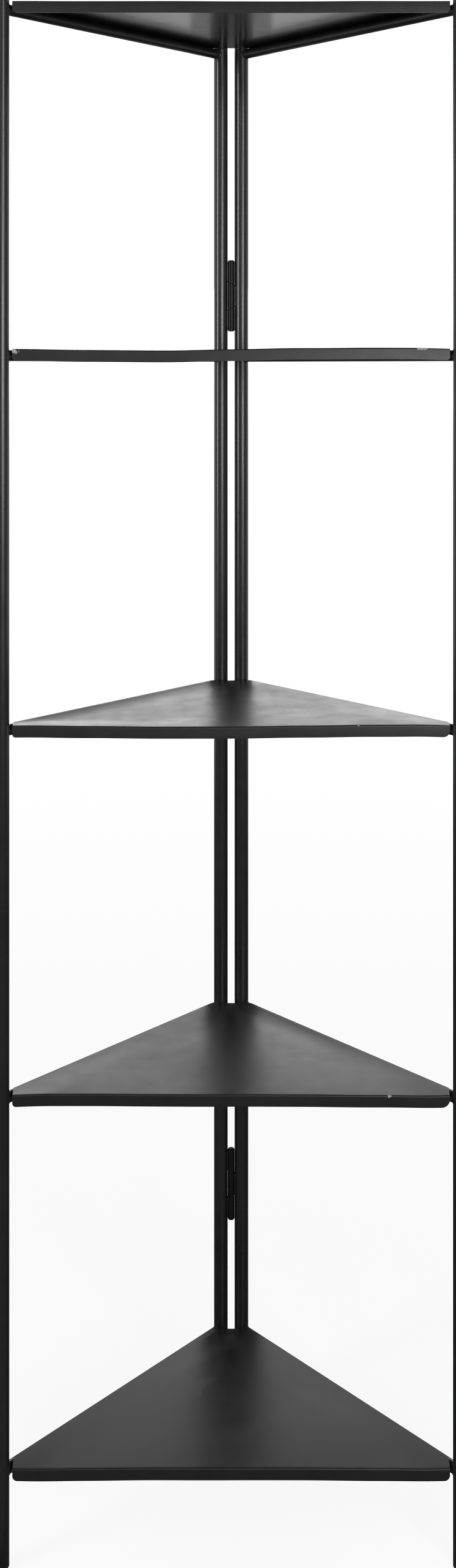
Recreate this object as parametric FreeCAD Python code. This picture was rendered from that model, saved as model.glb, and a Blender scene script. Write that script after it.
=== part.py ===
import FreeCAD, Part
import math
import os

# Posts: round tubes, four of them
height = 1700.0
post_od = 17.0
post_wall = 1.2

# Wings: each a front post and a rear post, spread from the front-to-rear line
wing_length = 334.0
wing_angle = 45.0
rear_gap = 8.6

# Side rails: round bars that carry the shelves
rail_od = 12.0
rest_gap = 0.3

# Shelves: one folded sheet each, spaced by shares of the way down from the top one
top_drop = 3.2
bottom_rise = 110.0
way_down = (0.0, 0.2371, 0.4939, 0.7457, 1.0)
sheet = 1.2
bend_radius = 1.5
lip_height = 12.8
lip_corner = 6.0
lip_reach = 5.5
lip_clear = 4.0
corner_clear = 3.0
edge_overhang = 0.5
rear_clear = 2.0
rear_corner = 2.5

# Barrel hinges: outer knuckles on the left rear post, middle knuckle on the right
hinge_levels = (("upper", 0.8171), ("lower", 0.1676))
hinge_height = 86.0
middle_share = 0.357
hinge_offset = 2.5
knuckle_gap = 0.3
knuckle_play = 0.1
knuckle_edge = 0.3
pin_diameter = 5.0
pin_clear = 0.05
pin_head_diameter = 7.4
pin_head_height = 1.2

# Weld beads
weld_share = 0.9
weld_reach = 1.6
weld_tip = 0.2
hinge_weld_radius = 1.0
hinge_weld_stand = 0.6
hinge_weld_short = 2.0

# Plugs in the tube ends
foot_height = 4.0
foot_edge = 1.2
cap_height = 2.5
cap_edge = 1.5
plug_depth = 16.0
plug_clear = 0.05
plug_lead = 1.0

# Derived places
post_radius = post_od / 2
bore_radius = post_radius - post_wall
spread_sin = math.sin(math.radians(wing_angle))
spread_cos = math.cos(math.radians(wing_angle))
rear_x = rear_gap / 2 + post_radius
front_x = rear_x + wing_length * spread_sin
rear_y = wing_length * spread_cos / 2
front_y = -rear_y
hinge_y = rear_y - hinge_offset
knuckle_radius = math.hypot(rear_x, hinge_offset) - post_radius - knuckle_gap
shelf_span = height - top_drop - bottom_rise
shelf_tops = tuple(height - top_drop - share * shelf_span for share in way_down)
rail_radius = rail_od / 2
rail_levels = tuple(top - sheet - rest_gap - rail_radius for top in shelf_tops)
up = FreeCAD.Vector(0, 0, 1)
sides = (("left", -1), ("right", 1))

os.makedirs("parts", exist_ok=True)


def save(name, shape):
    shape.exportStep(os.path.join("parts", name + ".step"))


def group(solids):
    return Part.makeCompound(solids)


def point(x, y, z=0.0):
    return FreeCAD.Vector(x, y, z)


def drum(radius, length, x, y, z):
    return Part.makeCylinder(radius, length, point(x, y, z), up)


def ring(outer, inner, length, x, y, z):
    return drum(outer, length, x, y, z).cut(drum(inner, length, x, y, z))


def turned(profile, x, y):
    # A closed profile of radius and height points, turned about an upright axis
    face = Part.Face(Part.makePolygon([point(r, 0, z) for r, z in profile]))
    solid = face.revolve(point(0, 0), up, 360)
    solid.translate(point(x, y))
    return solid


def on_wing(shape, side, z):
    # Wing frame: x runs from the rear post to the front post, z is up
    placed = shape.copy()
    placed.rotate(point(0, 0), up, side * wing_angle - 90)
    placed.translate(point(side * rear_x, rear_y, z))
    return placed


# Posts

def post(x, y):
    return ring(post_radius, bore_radius, height - foot_height - cap_height, x, y, foot_height)


# Plugs: a head as wide as the tube and a stem that tapers at its tip

def plug(head_height, head_edge):
    stem = bore_radius - plug_clear
    profile = [
        (0, 0),
        (post_radius - head_edge, 0),
        (post_radius, head_edge),
        (post_radius, head_height),
        (stem, head_height),
        (stem, head_height + plug_depth - plug_lead),
        (stem - plug_lead, head_height + plug_depth),
        (0, head_height + plug_depth),
        (0, 0),
    ]
    return turned(profile, 0, 0)


def foot(x, y):
    solid = plug(foot_height, foot_edge)
    solid.translate(point(x, y))
    return solid


def cap(x, y):
    solid = plug(cap_height, cap_edge)
    solid.rotate(point(0, 0), point(1, 0), 180)
    solid.translate(point(x, y, height))
    return solid


# Rails, coped to the two posts of the wing, with a weld collar round each end

def post_at(x):
    return drum(post_radius, 2 * post_od, x, 0, -post_od)


def bar():
    return Part.makeCylinder(rail_radius, wing_length, point(0, 0), point(1, 0))


def rail():
    return bar().cut([post_at(0), post_at(wing_length)])


def rail_collars():
    # Each tapers along the bar from inside the post, so that the post shapes its root
    root_radius = rail_radius + weld_share * (post_radius - rail_radius)
    tip_radius = rail_radius + weld_tip
    length = post_radius + weld_reach
    cone = Part.makeCone(root_radius, tip_radius, length, point(0, 0), point(1, 0))
    rear = cone.cut(post_at(0)).cut(bar())
    front = rear.copy()
    front.rotate(point(wing_length / 2, 0), up, 180)
    return [rear, front]


# Shelf sheet: panel, bend and lip

lip_half = front_x - post_radius - lip_clear
panel_half = front_x - post_radius - corner_clear
lip_y = front_y - lip_reach
bend_y = lip_y + bend_radius
panel_rear_y = rear_y - post_radius - rear_clear
edge_x = rear_x + edge_overhang * spread_cos
edge_y = rear_y + edge_overhang * spread_sin


def edge_at_x(x):
    return edge_y - (x - edge_x) * spread_cos / spread_sin


def edge_at_y(y):
    return edge_x + (edge_y - y) * spread_sin / spread_cos


def shelf(top):
    half_outline = [
        (panel_half, bend_y),
        (panel_half, edge_at_x(panel_half)),
        (edge_at_y(panel_rear_y), panel_rear_y),
    ]
    outline = half_outline + [(-x, y) for x, y in reversed(half_outline)]
    corners = [point(x, y, top - sheet) for x, y in outline]
    panel = Part.Face(Part.makePolygon(corners + corners[:1])).extrude(point(0, 0, sheet))
    rear_edges = [
        e for e in panel.Edges
        if e.Length < 2 * sheet and abs(e.CenterOfMass.y - panel_rear_y) < sheet
    ]
    panel = panel.makeFillet(rear_corner, rear_edges)
    inner_radius = bend_radius - sheet
    bend_z = top - bend_radius
    along = point(1, 0)
    length = 2 * lip_half
    start = point(-lip_half, bend_y, bend_z)
    bend = Part.makeCylinder(bend_radius, length, start, along)
    bend = bend.cut(Part.makeCylinder(inner_radius, length, start, along))
    quarter = Part.makeBox(length, bend_radius, bend_radius, point(-lip_half, lip_y, bend_z))
    bend = bend.common(quarter)
    drop = lip_height - bend_radius
    lip = Part.makeBox(length, sheet, drop, point(-lip_half, lip_y, bend_z - drop))
    low_edges = [
        e for e in lip.Edges
        if e.Length < 2 * sheet and e.CenterOfMass.z < bend_z - drop / 2
    ]
    lip = lip.makeFillet(lip_corner, low_edges)
    return panel.fuse([bend, lip]).removeSplitter()


# Hinges

def knuckle(length, z):
    solid = ring(knuckle_radius, pin_diameter / 2 + pin_clear, length, 0, hinge_y, z)
    rims = [
        e for e in solid.Edges
        if e.isClosed() and e.BoundBox.XLength > 2 * knuckle_radius - pin_clear
    ]
    return solid.makeChamfer(knuckle_edge, rims)


def knuckle_welds(side, length, z):
    # A bead in each crease between a knuckle and its own post
    span = math.hypot(rear_x, hinge_offset)
    from_axis = knuckle_radius + hinge_weld_stand
    from_post = post_radius + hinge_weld_stand
    along = (from_axis ** 2 - from_post ** 2 + span ** 2) / (2 * span)
    across = math.sqrt(from_axis ** 2 - along ** 2)
    toward = point(side * rear_x / span, hinge_offset / span)
    normal = point(-toward.y, toward.x)
    bead_height = length - 2 * hinge_weld_short
    beads = []
    for turn in (-across, across):
        centre = point(0, hinge_y) + toward * along + normal * turn
        bead = drum(hinge_weld_radius, bead_height, centre.x, centre.y, z + hinge_weld_short)
        bead = bead.cut(drum(knuckle_radius, length, 0, hinge_y, z))
        beads.append(bead.cut(drum(post_radius, length, side * rear_x, rear_y, z)))
    return beads


def hinge_pin(base, top):
    radius = pin_diameter / 2
    head = pin_head_diameter / 2
    profile = [
        (0, base - pin_head_height),
        (radius, base - pin_head_height),
        (head, base - pin_head_height / 2),
        (head, base),
        (radius, base),
        (radius, top),
        (head, top),
        (head, top + pin_head_height / 2),
        (radius, top + pin_head_height),
        (0, top + pin_head_height),
        (0, base - pin_head_height),
    ]
    return turned(profile, 0, hinge_y)


# Files: posts and plugs

welds = {"left": [], "right": []}

for side_name, side in sides:
    for place, x, y in (("front", front_x, front_y), ("rear", rear_x, rear_y)):
        label = side_name + "_" + place
        save(label + "_post", post(side * x, y))
        save(label + "_foot", foot(side * x, y))
        save(label + "_cap", cap(side * x, y))

# Files: rails and shelves

for number, (shelf_top, rail_z) in enumerate(zip(shelf_tops, rail_levels), 1):
    for side_name, side in sides:
        save(side_name + "_rail_" + str(number), on_wing(rail(), side, rail_z))
        welds[side_name] += [on_wing(collar, side, rail_z) for collar in rail_collars()]
    save("shelf_" + str(number), shelf(shelf_top))

# Files: hinges and welds

middle_length = hinge_height * middle_share
outer_length = (hinge_height - middle_length) / 2 - knuckle_play

for hinge_name, level in hinge_levels:
    centre_z = level * height
    base = centre_z - hinge_height / 2
    crown = centre_z + hinge_height / 2
    outer_bases = (base, crown - outer_length)
    middle_base = centre_z - middle_length / 2
    save(hinge_name + "_outer_knuckles", group([knuckle(outer_length, z) for z in outer_bases]))
    save(hinge_name + "_middle_knuckle", knuckle(middle_length, middle_base))
    save(hinge_name + "_hinge_pin", hinge_pin(base, crown))
    for z in outer_bases:
        welds["left"] += knuckle_welds(-1, outer_length, z)
    welds["right"] += knuckle_welds(1, middle_length, middle_base)

for side_name, side in sides:
    save(side_name + "_welds", group(welds[side_name]))
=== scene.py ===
import bpy
import bmesh
import math
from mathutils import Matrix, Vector, noise


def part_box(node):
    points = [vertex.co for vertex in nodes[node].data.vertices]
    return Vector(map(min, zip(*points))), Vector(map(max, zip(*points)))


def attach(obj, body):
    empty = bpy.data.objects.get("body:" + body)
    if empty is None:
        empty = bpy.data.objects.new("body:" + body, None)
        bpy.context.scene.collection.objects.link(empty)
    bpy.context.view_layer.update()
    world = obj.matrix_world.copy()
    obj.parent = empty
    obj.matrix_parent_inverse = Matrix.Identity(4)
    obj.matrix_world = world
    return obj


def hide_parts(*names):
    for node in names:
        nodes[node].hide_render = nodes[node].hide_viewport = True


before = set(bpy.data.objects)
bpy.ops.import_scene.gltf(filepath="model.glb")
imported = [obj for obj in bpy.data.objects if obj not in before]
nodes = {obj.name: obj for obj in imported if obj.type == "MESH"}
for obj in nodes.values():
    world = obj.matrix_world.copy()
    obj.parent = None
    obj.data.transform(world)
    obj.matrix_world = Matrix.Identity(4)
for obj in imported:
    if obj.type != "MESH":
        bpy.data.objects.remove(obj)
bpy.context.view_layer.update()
scene = bpy.context.scene
scene.view_settings.view_transform = "Standard"
print("frame loaded,", len(nodes), "nodes")


# camera: level, at the height where shelf 2 shows edge-on
camera = dict(place=(0.0, -1.705, 1.3015), lens=33.6, shiftX=-0.002, shiftY=-0.2664)

cameraData = bpy.data.cameras.new("camera")
cameraData.lens = camera["lens"]
cameraData.shift_x = camera["shiftX"]
cameraData.shift_y = camera["shiftY"]
cameraObject = bpy.data.objects.new("camera", cameraData)
cameraObject.location = camera["place"]
cameraObject.rotation_euler = (math.radians(90), 0, 0)
scene.collection.objects.link(cameraObject)
scene.camera = cameraObject
print("camera set")


# materials

def newTree(name):
    material = bpy.data.materials.new(name)
    material.use_nodes = True
    tree = material.node_tree
    return material, tree, tree.nodes["Principled BSDF"]


def addNode(tree, kind, inputs=(), **settings):
    node = tree.nodes.new(kind)
    for key, value in settings.items():
        setattr(node, key, value)
    for key, value in dict(inputs).items():
        if isinstance(value, bpy.types.NodeSocket):
            tree.links.new(value, node.inputs[key])
        else:
            node.inputs[key].default_value = value
    return node


def objectPlace(tree):
    return addNode(tree, "ShaderNodeTexCoord").outputs["Object"]


def addNoise(tree, where, scale, detail, grain=0.5):
    inputs = {"Vector": where, "Scale": scale, "Detail": detail, "Roughness": grain}
    return addNode(tree, "ShaderNodeTexNoise", inputs).outputs["Fac"]


def addRange(tree, value, fromMin, fromMax, toMin, toMax):
    inputs = {0: value, 1: fromMin, 2: fromMax, 3: toMin, 4: toMax}
    return addNode(tree, "ShaderNodeMapRange", inputs).outputs[0]


def addMath(tree, kind, a, b):
    return addNode(tree, "ShaderNodeMath", {0: a, 1: b}, operation=kind).outputs[0]


def addLength(tree, vector):
    node = addNode(tree, "ShaderNodeVectorMath", {0: vector}, operation="LENGTH")
    return node.outputs["Value"]


def addMix(tree, share, a, b):
    node = addNode(tree, "ShaderNodeMix", {0: share, 6: a, 7: b}, data_type="RGBA")
    return node.outputs[2]


def finishShader(tree, shader, look, colour, rough, height):
    inputs = {"Height": height, "Distance": look["bump"], "Strength": 1.0}
    bump = addNode(tree, "ShaderNodeBump", inputs)
    tree.links.new(colour, shader.inputs["Base Color"])
    tree.links.new(rough, shader.inputs["Roughness"])
    tree.links.new(bump.outputs["Normal"], shader.inputs["Normal"])
    shader.inputs["IOR"].default_value = look["ior"]


# powder coat: uneven gloss, orange peel and grit, and specks and chips down to the grey primer
# a noise is a scale, a detail and, where it isn't the usual one, a grain
coat = dict(
    patches=(9.0, 3.0), patchRange=(0.3, 0.7),
    smudges=(45.0, 4.0, 0.6), smudgeRange=(0.35, 0.75), smudgeRough=(-0.02, 0.04),
    peel=(520.0, 2.0), grit=(2600.0, 1.0), gritShare=0.25,
    speckDetail=(3.0, 0.65), speckFade=0.015, bareRough=0.3,
    chipNoise=(500.0, 3.0, 0.6), chipRange=(0.2, 0.8), chipRagged=(-0.4, 0.4),
    chipFade=(0.42, 0.52),
)
blackCoat = dict(
    dark=(0.0035, 0.0035, 0.0036, 1), light=(0.0075, 0.0075, 0.0076, 1),
    primer=(0.30, 0.30, 0.29, 1), rough=0.38, roughSpread=0.03, ior=1.5, bump=0.000012,
    speckScale=160.0, speckFrom=0.80, chips=(),
)
tubeCoat = dict(
    blackCoat, dark=(0.006, 0.006, 0.0061, 1), light=(0.011, 0.011, 0.0111, 1),
    rough=0.28, bump=0.000006,
)
sheetCoat = dict(
    blackCoat,
    chips=(
        ((0.207, -0.1232, 1.3208), (0.012, 0.005, 0.0035)),
        ((0.171, -0.1228, 0.5126), (0.004, 0.004, 0.003)),
        ((-0.235, -0.1232, 1.3180), (0.009, 0.005, 0.006)),
    ),
)
underCoat = dict(blackCoat, rough=0.20)
# bends and rims: a paler tone and more specks, partly rubbed wear and partly a painted highlight
# along the edges
wornAndSheenCoat = dict(sheetCoat, light=(0.014, 0.014, 0.014, 1), speckScale=90.0, speckFrom=0.70)
# hinge paint: duller and with a lower IOR, so it reflects less; painted shade standing in for the
# recess between the rear posts
hingeShadeCoat = dict(blackCoat, rough=0.40, ior=1.25)


def addChip(tree, where, centre, size):
    # a ragged spot, as wide, deep and high as its size says
    scale = [1 / length for length in size]
    shift = [-place * factor for place, factor in zip(centre, scale)]
    inputs = {"Vector": where, "Location": shift, "Scale": scale}
    spot = addNode(tree, "ShaderNodeMapping", inputs).outputs[0]
    rim = addNoise(tree, where, *coat["chipNoise"])
    rim = addRange(tree, rim, *coat["chipRange"], *coat["chipRagged"])
    away = addMath(tree, "ADD", addLength(tree, spot), rim)
    return addRange(tree, away, *coat["chipFade"], 1.0, 0.0)


def powderCoat(name, look):
    material, tree, shader = newTree(name)
    where = objectPlace(tree)
    patches = addNoise(tree, where, *coat["patches"])
    smudges = addNoise(tree, where, *coat["smudges"])
    peel = addNoise(tree, where, *coat["peel"])
    grit = addNoise(tree, where, *coat["grit"])
    bare = addNoise(tree, where, look["speckScale"], *coat["speckDetail"])
    speckFull = look["speckFrom"] + coat["speckFade"]
    bare = addRange(tree, bare, look["speckFrom"], speckFull, 0.0, 1.0)
    for centre, size in look["chips"]:
        bare = addMath(tree, "MAXIMUM", bare, addChip(tree, where, centre, size))
    tone = addMix(tree, smudges, look["dark"], look["light"])
    colour = addMix(tree, bare, tone, look["primer"])
    glossy = look["rough"] - look["roughSpread"]
    dull = look["rough"] + look["roughSpread"]
    rough = addRange(tree, patches, *coat["patchRange"], glossy, dull)
    smudged = addRange(tree, smudges, *coat["smudgeRange"], *coat["smudgeRough"])
    rough = addMath(tree, "ADD", rough, smudged)
    rough = addMath(tree, "ADD", rough, addMath(tree, "MULTIPLY", bare, coat["bareRough"]))
    height = addMath(tree, "ADD", peel, addMath(tree, "MULTIPLY", grit, coat["gritShare"]))
    height = addMath(tree, "SUBTRACT", height, bare)
    finishShader(tree, shader, look, colour, rough, height)
    return material


# moulded plastic: a fine grain, paler and duller where it is scuffed
plugLook = dict(
    dark=(0.014, 0.014, 0.015, 1), scuffed=(0.03, 0.03, 0.031, 1), bump=0.00004, ior=1.46,
    grain=(1500.0, 3.0, 0.6), scuffs=(120.0, 4.0, 0.7),
    paleRange=(0.45, 0.8), dullRange=(0.3, 0.8), rough=(0.45, 0.7),
)


def mouldedPlastic(name, look):
    material, tree, shader = newTree(name)
    where = objectPlace(tree)
    grain = addNoise(tree, where, *look["grain"])
    scuffs = addNoise(tree, where, *look["scuffs"])
    pale = addRange(tree, scuffs, *look["paleRange"], 0.0, 1.0)
    colour = addMix(tree, pale, look["dark"], look["scuffed"])
    rough = addRange(tree, scuffs, *look["dullRange"], *look["rough"])
    finishShader(tree, shader, look, colour, rough, grain)
    return material


postPaint = powderCoat("postPaint", tubeCoat)
railPaint = powderCoat("railPaint", tubeCoat)
shelfPaint = powderCoat("shelfPaint", sheetCoat)
underPaint = powderCoat("underPaint", underCoat)
# paler rim paint: partly wear, partly a painted highlight
edgeWearAndSheenPaint = powderCoat("edgeWearAndSheenPaint", wornAndSheenCoat)
# hinge paint reflects less: painted shade of the recess between the posts
hingeShadePaint = powderCoat("hingeShadePaint", hingeShadeCoat)
weldPaint = powderCoat("weldPaint", blackCoat)
plugPlastic = mouldedPlastic("plugPlastic", plugLook)
print("materials made")


# CAD nodes that stay as they are
# the knuckles and pins take the hinge paint, whose low reflectance is painted shade of the recess
nodePaints = (
    ("_post", postPaint), ("_rail_", railPaint), ("_knuckle", hingeShadePaint),
    ("_hinge_pin", hingeShadePaint), ("_foot", plugPlastic), ("_cap", plugPlastic),
)
for nodeName, node in nodes.items():
    for mark, paint in nodePaints:
        if mark in nodeName:
            node.data.materials.clear()
            node.data.materials.append(paint)
print("nodes painted")


def newObject(name, bm):
    mesh = bpy.data.meshes.new(name)
    bm.to_mesh(mesh)
    bm.free()
    thing = bpy.data.objects.new(name, mesh)
    scene.collection.objects.link(thing)
    return thing


def finishPiece(name, bm, body, paints, standsFor):
    piece = newObject(name, bm)
    for paint in paints:
        piece.data.materials.append(paint)
    piece.data.shade_smooth()
    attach(piece, body)
    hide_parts(standsFor)
    return piece


def centreOf(nodeName):
    low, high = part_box(nodeName)
    return (low + high) / 2


# shelves: each one folded sheet, a little wavy, its front edge swaying off level from left to right
# a dip is the side it is on, its depth and how far behind the lip it is full
diagonal = math.sqrt(2)
sheet = dict(
    thickness=0.0012, bend=0.0015, bendSteps=6, bendSlope=(0.1, 0.9), ear=0.001, overhang=0.0005,
    rearCorner=0.0025, cornerSteps=8, edge=0.00025, edgeSteps=2, edgeAngle=40,
    grid=0.0075, fineGrid=0.003, merge=0.00015, near=1e-5, cutNear=1e-6,
    wave=0.0005, waveScale=8.0, rest=0.06, settle=0.00028,
    lipWave=0.0004, lipWaveScale=(9, 60), lipFrom=0.004,
    lipCorners={
        1: (0.0065, 0.005),
        2: (0.003, 0.004),
        3: (0.0035, 0.0075),
        4: (0.004, 0.009),
        5: (0.005, 0.006),
    },
    swayEnd=0.08, swayRun=0.2,
    sway={
        1: (0.0002, 0.0, -0.0002, -0.0003, -0.0002, 0.0, 0.0),
        2: (0.0, -0.0013, -0.0016, -0.0004, 0.0008, 0.0014, 0.0012),
        3: (0.0006, -0.0003, -0.0011, -0.0010, 0.0, 0.0011, 0.0016),
        4: (0.0016, 0.0014, 0.0012, 0.0008, 0.0006, -0.0002, -0.0010),
        5: (-0.0009, 0.0, 0.0006, 0.0006, 0.0005, -0.0002, -0.0007),
    },
    dips={3: (-1, 0.0021, 0.03), 4: (1, 0.0017, 0.2)},
    dipStart=0.0016, dipWidth=0.026, dipCuts=12, dipFade=0.05, dipFront=0.004,
    dipEase=0.14, dipHold=0.25,
)


def smooth(share):
    share = min(1.0, max(0.0, share))
    return share * share * (3 - 2 * share)


def swayAt(number, across):
    heights = sheet["sway"][number]
    place = min(0.9999, max(0.0, (across + 1) / 2)) * (len(heights) - 1)
    share = smooth(place % 1)
    return heights[int(place)] * (1 - share) + heights[int(place) + 1] * share


def dipAt(number, x, y, frontY, edgeSum):
    # eases out toward the middle of the sheet, the lip and the other rail
    if number not in sheet["dips"]:
        return 0.0
    dipSide, depth, run = sheet["dips"][number]
    inside = (edgeSum - dipSide * x - y) / diagonal
    fromOther = (edgeSum + dipSide * x - y) / diagonal - sheet["dipStart"]
    share = min(1.0, max(0.0, inside - sheet["dipStart"]) / sheet["dipWidth"])
    dip = depth * share * (2 - share)
    dip *= 1 - smooth(inside / sheet["dipEase"] - sheet["dipHold"])
    dip *= smooth((y - frontY - sheet["dipFront"]) / run)
    return dip * smooth(fromOther / sheet["dipFade"])


def cutThrough(bm, point, normal, clearOuter=False):
    everything = bm.verts[:] + bm.edges[:] + bm.faces[:]
    bmesh.ops.bisect_plane(
        bm, geom=everything, dist=sheet["cutNear"], plane_co=point, plane_no=normal,
        clear_outer=clearOuter,
    )


def cutGrid(bm, axis, first, last, step):
    for count in range(math.ceil(first / step), math.floor(last / step) + 1):
        cutThrough(bm, axis * (count * step), axis)


def roundOff(bm, parts, affect, size, steps):
    bmesh.ops.bevel(
        bm, geom=parts, offset=size, offset_type="OFFSET", affect=affect,
        segments=steps, profile=0.5, material=-1,
    )


def foldStrip(bm, low, high, lipHalf):
    # panel and lip drawn as one line from the side, swept across, and rounded at the fold
    profile = ((high.y, high.z), (low.y, high.z), (low.y, low.z))
    side = [bm.verts.new((-lipHalf, y, z)) for y, z in profile]
    outline = [bm.edges.new(pair) for pair in zip(side, side[1:])]
    swept = bmesh.ops.extrude_edge_only(bm, edges=outline)["geom"]
    moved = [v for v in swept if isinstance(v, bmesh.types.BMVert)]
    bmesh.ops.translate(bm, verts=moved, vec=(2 * lipHalf, 0, 0))
    bm.normal_update()
    inverted = [f for f in bm.faces if f.normal.z < -0.5 or f.normal.y > 0.5]
    bmesh.ops.reverse_faces(bm, faces=inverted)
    fold = [e for e in bm.edges if len(e.link_faces) == 2]
    roundOff(bm, fold, "EDGES", sheet["bend"], sheet["bendSteps"])


def trimStrip(bm, number, low, high, lipHalf, edgeSum):
    # cut to the triangle, then let the corners reach past the lip
    for facing in (1, -1):
        cutThrough(bm, (facing * edgeSum, 0, 0), (facing, 1, 0), clearOuter=True)
    near = sheet["near"]
    for vert in bm.verts:
        if abs(vert.co.x) > lipHalf - near and vert.co.y > low.y + 2 * sheet["bend"]:
            vert.co = (math.copysign(high.x, vert.co.x), edgeSum - high.x, high.z)
    leftCorner, rightCorner = sheet["lipCorners"][number]
    for corners, size in (
        ([v for v in bm.verts if v.co.z < low.z + near and v.co.x < 0], leftCorner),
        ([v for v in bm.verts if v.co.z < low.z + near and v.co.x > lipHalf - near], rightCorner),
        ([v for v in bm.verts if v.co.y > high.y - near], sheet["rearCorner"]),
    ):
        roundOff(bm, corners, "VERTICES", size, sheet["cornerSteps"])
    flat, steep = sheet["bendSlope"]
    # bend faces take slot 1, the paler rim paint: partly wear, partly a painted highlight
    for face in bm.faces:
        face.material_index = 1 if flat < abs(face.normal.z) < steep else 0


def cutPanel(bm, number, low, high, edgeSum):
    cutGrid(bm, Vector((1, 0, 0)), -high.x, high.x, sheet["grid"])
    cutGrid(bm, Vector((0, 1, 0)), low.y + 2 * sheet["bend"], high.y, sheet["grid"])
    if number in sheet["dips"]:
        toRail = Vector((sheet["dips"][number][0], 1, 0)).normalized()
        for step in range(sheet["dipCuts"]):
            inside = sheet["dipStart"] + step * sheet["fineGrid"]
            cutThrough(bm, toRail * (edgeSum / diagonal - inside), toRail)
    # where two cuts cross at nearly one point
    bmesh.ops.remove_doubles(bm, verts=bm.verts, dist=sheet["merge"])


def warpPanel(bm, number, low, high, lipHalf, edgeSum):
    # waves die out toward the rails that the sheet lies on, and some sheets have sunk beside one
    lipX, lipZ = sheet["lipWaveScale"]
    for vert in bm.verts:
        x, y, z = vert.co
        loose = smooth((edgeSum - abs(x) - y) / sheet["rest"])
        ripple = noise.noise(Vector((x, y, number)) * sheet["waveScale"]) * sheet["wave"]
        front = smooth((sheet["swayEnd"] - y) / sheet["swayRun"])
        lift = loose * (ripple + front * swayAt(number, x / lipHalf))
        vert.co.z += lift - dipAt(number, x, y, low.y, edgeSum) - sheet["settle"]
        lipRipple = noise.noise(Vector((x * lipX, number, z * lipZ)))
        vert.co.y += sheet["lipWave"] * lipRipple * (z < high.z - sheet["lipFrom"])


def thicken(shelf):
    solid = shelf.modifiers.new("thickness", "SOLIDIFY")
    solid.thickness = sheet["thickness"]
    solid.offset = -1
    solid.material_offset = 2
    # the rims take slot 1, the paler rim paint: partly wear, partly a painted highlight
    solid.material_offset_rim = 1
    rounding = shelf.modifiers.new("edges", "BEVEL")
    rounding.width = sheet["edge"]
    rounding.segments = sheet["edgeSteps"]
    rounding.limit_method = "ANGLE"
    rounding.angle_limit = math.radians(sheet["edgeAngle"])
    # the rounded edges also take the paler rim paint, partly a painted highlight
    rounding.material = 1
    rounding.harden_normals = True


def buildShelf(number):
    nodeName = "shelf_" + str(number)
    low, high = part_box(nodeName)
    wing = centreOf("right_rear_post")
    # the sloping sides run on the rails, where x + y is this
    edgeSum = wing.x + wing.y + sheet["overhang"] * diagonal
    lipHalf = high.x - sheet["ear"]
    bm = bmesh.new()
    foldStrip(bm, low, high, lipHalf)
    trimStrip(bm, number, low, high, lipHalf, edgeSum)
    cutPanel(bm, number, low, high, edgeSum)
    warpPanel(bm, number, low, high, lipHalf, edgeSum)
    # the top and the lip have dulled in use, the underside keeps its gloss; bends and rims take a
    # paler paint, partly wear and partly a painted highlight
    paints = (shelfPaint, edgeWearAndSheenPaint, underPaint)
    pieceName = "shelf" + str(number) + "Sheet"
    shelf = finishPiece(pieceName, bm, nodeName, paints, nodeName)
    thicken(shelf)


for number in range(1, 6):
    buildShelf(number)
print("shelves folded")


# welds: a rippled fillet round each rail end, and beads along the hinge knuckles
weld = dict(
    leg=0.0008, ripples=15, ripple=0.07, uneven=0.25, lumpScale=1.7, fullness=0.8,
    around=60, across=5, sink=0.0004,
    beadRadius=0.0010, beadStand=0.0006, beadShort=0.0020, beadStep=0.0005, beadPitch=0.0020,
    beadSides=14, beadEnd=0.15, beadThin=0.93, beadUneven=0.14, beadLumpScale=(300, 140),
)


def bridgeRings(bm, rings):
    for ring, following in zip(rings, rings[1:]):
        loops = {e for v in ring for e in v.link_edges if e.other_vert(v) in ring}
        loops |= {e for v in following for e in v.link_edges if e.other_vert(v) in following}
        bmesh.ops.bridge_loops(bm, edges=list(loops))


def addCollar(bm, postCentre, postRadius, along, level, railRadius, seed):
    side = Vector((-along.y, along.x, 0))
    rings = []
    for step in range(weld["across"] + 2):
        ring = bmesh.ops.create_circle(bm, radius=1.0, segments=weld["around"])["verts"]
        turn = math.radians(90) * min(step, weld["across"]) / weld["across"]
        root = step > weld["across"]
        for index, vert in enumerate(ring):
            angle = 2 * math.pi * index / len(ring)
            spot = Vector((math.cos(angle), math.sin(angle), seed))
            lump = noise.noise(spot * weld["lumpScale"])
            scale = abs(math.sin(angle * weld["ripples"] / 2))
            leg = weld["leg"] * (1 + weld["uneven"] * lump + weld["ripple"] * scale)
            out = railRadius + leg * math.cos(turn) ** weld["fullness"]
            ahead = leg * math.sin(turn) ** weld["fullness"]
            if root:
                out, ahead = railRadius - weld["sink"], -weld["sink"]
            wide = out * math.cos(angle)
            reach = math.sqrt(max(postRadius ** 2 - wide ** 2, 0.0)) + ahead
            vert.co = postCentre + along * reach + side * wide
            vert.co.z = level + out * math.sin(angle)
        rings.append(ring)
    bridgeRings(bm, rings + rings[:1])


def addBead(bm, centre, low, high, seed):
    # an upright bead in a crease, laid in short overlapping scales
    low, high = low + weld["beadShort"], high - weld["beadShort"]
    count = round((high - low) / weld["beadStep"])
    lumpX, lumpZ = weld["beadLumpScale"]
    rings = []
    for step in range(count + 1):
        level = low + (high - low) * step / count
        nearEnd = min(level - low, high - level)
        taper = math.sqrt(min(1.0, weld["beadEnd"] + nearEnd / weld["beadRadius"]))
        scale = abs(math.sin(math.pi * (level - low) / weld["beadPitch"]))
        lump = noise.noise(Vector((seed, centre.x * lumpX, level * lumpZ)))
        swell = weld["beadThin"] + weld["ripple"] * scale + weld["beadUneven"] * lump
        ring = bmesh.ops.create_circle(
            bm, radius=weld["beadRadius"] * taper * swell, segments=weld["beadSides"],
            cap_ends=step in (0, count),
        )["verts"]
        bmesh.ops.translate(bm, verts=ring, vec=(centre.x, centre.y, level))
        rings.append(ring)
    bridgeRings(bm, rings)


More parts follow.
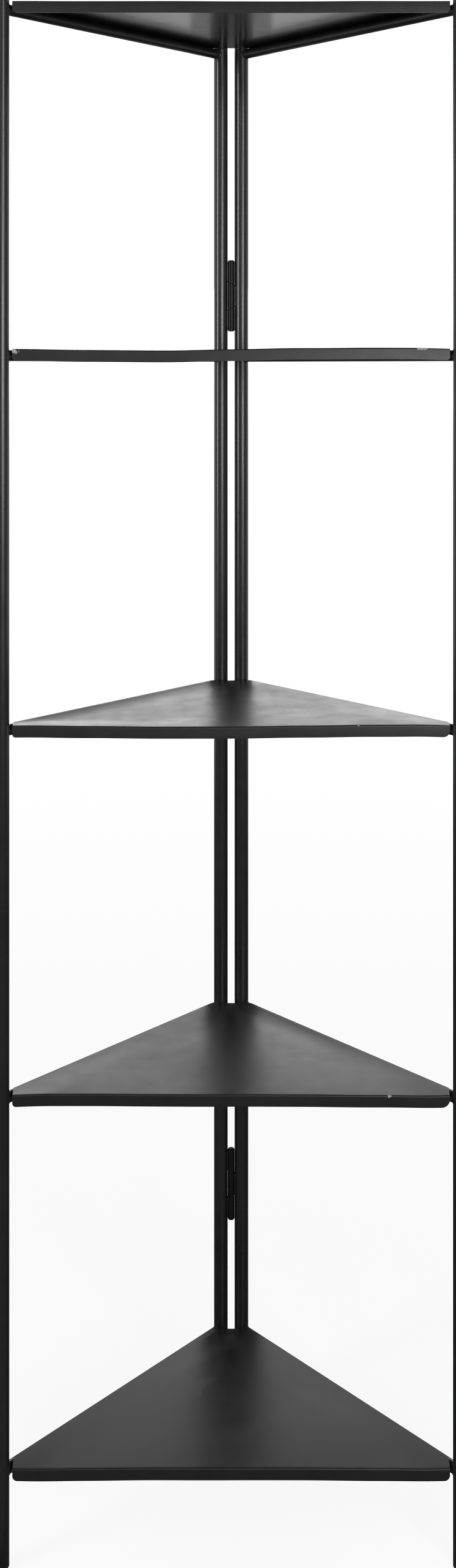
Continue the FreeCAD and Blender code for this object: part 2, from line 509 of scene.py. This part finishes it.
def addHingeBeads(bm, sideName, hingeName, post, postRadius):
    # outer knuckles are welded to the left post and the middle one to the right post
    outerLow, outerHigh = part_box(hingeName + "_outer_knuckles")
    middleLow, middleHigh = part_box(hingeName + "_middle_knuckle")
    pivot = (middleLow + middleHigh) / 2
    reach = Vector((post.x - pivot.x, post.y - pivot.y, 0))
    fromPivot = (middleHigh.x - middleLow.x) / 2 + weld["beadStand"]
    fromPost = postRadius + weld["beadStand"]
    along = (fromPivot ** 2 - fromPost ** 2 + reach.length ** 2) / (2 * reach.length)
    aside = Vector((-reach.y, reach.x, 0)).normalized() * math.sqrt(fromPivot ** 2 - along ** 2)
    if sideName == "left":
        spans = ((outerLow.z, middleLow.z), (middleHigh.z, outerHigh.z))
    else:
        spans = ((middleLow.z, middleHigh.z),)
    for low, high in spans:
        for facing in (-1, 1):
            centre = pivot + reach.normalized() * along + aside * facing
            addBead(bm, centre, low, high, low * 10 + facing)


def buildWelds(sideName):
    bm = bmesh.new()
    front, rear = centreOf(sideName + "_front_post"), centreOf(sideName + "_rear_post")
    low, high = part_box(sideName + "_front_post")
    postRadius = (high.x - low.x) / 2
    for number in range(1, 6):
        low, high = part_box(sideName + "_rail_" + str(number))
        level, railRadius = (low.z + high.z) / 2, (high.z - low.z) / 2
        for place, other in ((front, rear), (rear, front)):
            along = (other - place).normalized()
            seed = number + 7 * place.x * 100  # differs from one collar to the next
            addCollar(bm, place, postRadius, along, level, railRadius, seed)
    for hingeName in ("upper", "lower"):
        addHingeBeads(bm, sideName, hingeName, rear, postRadius)
    bmesh.ops.recalc_face_normals(bm, faces=bm.faces)
    pieceName, nodeName = sideName + "WeldBeads", sideName + "_welds"
    finishPiece(pieceName, bm, sideName + "_wing", (weldPaint,), nodeName)


for sideName in ("left", "right"):
    buildWelds(sideName)
print("welds laid")


# stage: pale floor, white surroundings, grey cards and soft lamps
floorLook = dict(
    size=200.0, level=-0.0002, colour=(0.86, 0.86, 0.86, 1), rough=0.9,
    glow=0.90, fadeFrom=0.5, fadeTo=3.0,
)


def seenRays(tree):
    # 1 where the camera sees it, also in a reflection, and 0 where it only lights other things
    paths = addNode(tree, "ShaderNodeLightPath").outputs
    seen = addMath(tree, "MAXIMUM", paths["Is Camera Ray"], paths["Is Glossy Ray"])
    return addMath(tree, "MAXIMUM", seen, paths["Is Transmission Ray"])


def buildFloor():
    bm = bmesh.new()
    bmesh.ops.create_grid(bm, x_segments=1, y_segments=1, size=floorLook["size"] / 2)
    bmesh.ops.translate(bm, verts=bm.verts, vec=(0, 0, floorLook["level"]))
    floor = newObject("floor", bm)
    material, tree, shader = newTree("paleFloor")
    shader.inputs["Base Color"].default_value = floorLook["colour"]
    shader.inputs["Roughness"].default_value = floorLook["rough"]
    glow = addNode(tree, "ShaderNodeEmission", {"Strength": 1.0})
    # far off the floor is as white as the surroundings, and near the posts it takes their shadow
    away = addLength(tree, objectPlace(tree))
    fade = (floorLook["fadeFrom"], floorLook["fadeTo"], floorLook["glow"], 1.0)
    share = addMath(tree, "MULTIPLY", seenRays(tree), addRange(tree, away, *fade))
    inputs = {0: share, 1: shader.outputs[0], 2: glow.outputs[0]}
    blend = addNode(tree, "ShaderNodeMixShader", inputs)
    tree.links.new(blend.outputs[0], tree.nodes["Material Output"].inputs["Surface"])
    floor.data.materials.append(material)


def buildWorld(fill):
    world = bpy.data.worlds.new("studio")
    world.use_nodes = True
    tree = world.node_tree
    strength = addRange(tree, seenRays(tree), 0.0, 1.0, fill, 1.0)
    tree.nodes["Background"].inputs["Color"].default_value = (1, 1, 1, 1)
    tree.links.new(strength, tree.nodes["Background"].inputs["Strength"])
    scene.world = world


def buildCard(name, corners, grey):
    # a grey card that only reflections see, as photographers set round a glossy thing
    bm = bmesh.new()
    bm.faces.new([bm.verts.new(corner) for corner in corners])
    card = newObject(name, bm)
    material, tree, shader = newTree(name)
    shader.inputs["Base Color"].default_value = (0, 0, 0, 1)
    shader.inputs["Specular IOR Level"].default_value = 0.0
    shader.inputs["Emission Color"].default_value = (1, 1, 1, 1)
    shader.inputs["Emission Strength"].default_value = grey
    card.data.materials.append(material)
    card.visible_camera = False
    card.visible_diffuse = False
    card.visible_shadow = False
    card.visible_transmission = False


# upright cards: name, x, y, foot, head, half width at the foot and at the head, grey
room = dict(
    side=2.8, front=-3.6, back=0.3, split=0.3, top=2.8, ceilingBack=4.55,
    floorLevel=0.001, floorFrom=-0.16, rearFrom=3.0, rearTo=16.0,
    lowGrey=0.20, sideGrey=0.40, frontGrey=0.43, nearGrey=0.08, ceilingGrey=0.12, rearGrey=0.57,
    uprights=(
        ("cornerShade", 0.0, 0.15, 0.0, 1.4, 0.040, 0.019, 0.04),
        ("cornerTop", 0.0, 0.15, 1.4, 1.7, 0.027, 0.027, 0.16),
        ("cornerEdge", 0.0, 0.16, 1.4, 1.7, 0.052, 0.052, 0.48),
        ("highLeft", -1.3, -3.5, 2.3, 2.8, 0.8, 0.8, 2.4),
    ),
)


def buildRoom():
    side, front, back = room["side"], room["front"], room["back"]
    corners = ((-side, back), (-side, front), (side, front), (side, back))
    for index, ((ax, ay), (bx, by)) in enumerate(zip(corners, corners[1:])):
        highGrey = room["frontGrey"] if index == 1 else room["sideGrey"]
        for part, low, high, grey in (
            ("Low", 0.0, room["split"], room["lowGrey"]),
            ("High", room["split"], room["top"], highGrey),
        ):
            outline = ((ax, ay, low), (bx, by, low), (bx, by, high), (ax, ay, high))
            buildCard("wall" + part + str(index), outline, grey)
    for name, near, far, level, grey in (
        ("frontFloor", room["floorFrom"], front, room["floorLevel"], room["lowGrey"]),
        ("nearFloor", room["rearFrom"], room["floorFrom"], room["floorLevel"], room["nearGrey"]),
        ("ceiling", room["ceilingBack"], front, room["top"], room["ceilingGrey"]),
        ("rearFloor", room["rearFrom"], room["rearTo"], room["floorLevel"], room["rearGrey"]),
    ):
        nearEdge = ((-side, near, level), (side, near, level))
        farEdge = ((side, far, level), (-side, far, level))
        buildCard(name, nearEdge + farEdge, grey)
    # the shaded corner just behind the rear posts, and a bright patch high up in front on the left
    for name, x, y, low, high, lowHalf, highHalf, grey in room["uprights"]:
        foot = ((x - lowHalf, y, low), (x + lowHalf, y, low))
        head = ((x + highHalf, y, high), (x - highHalf, y, high))
        buildCard(name, foot + head, grey)


# name, place, aim, width, height and watts
lamps = (
    ("softboxLeft", (-1.9, -1.1, 1.60), (0, 0.1, 1.3), 0.50, 1.4, 26),
    ("softboxRight", (0.75, -2.4, 1.34), (0, 0.1, 1.3), 0.40, 0.6, 14),
    ("softboxSide", (1.35, -2.1, 1.60), (0, 0.1, 1.3), 0.50, 1.4, 23),
    ("softboxRear", (0, 3.2, 1.57), (0, 0, 1.2), 3.0, 0.9, 22),
)


def addSoftbox(name, place, aim, width, height, watts):
    lamp = bpy.data.lights.new(name, "AREA")
    lamp.shape = "RECTANGLE"
    lamp.size = width
    lamp.size_y = height
    lamp.energy = watts
    box = bpy.data.objects.new(name, lamp)
    box.location = place
    box.rotation_euler = (Vector(aim) - Vector(place)).to_track_quat("-Z", "Y").to_euler()
    box.visible_camera = False
    scene.collection.objects.link(box)


buildFloor()
buildWorld(fill=0.2)
buildRoom()
for row in lamps:
    addSoftbox(*row)
print("stage lit")
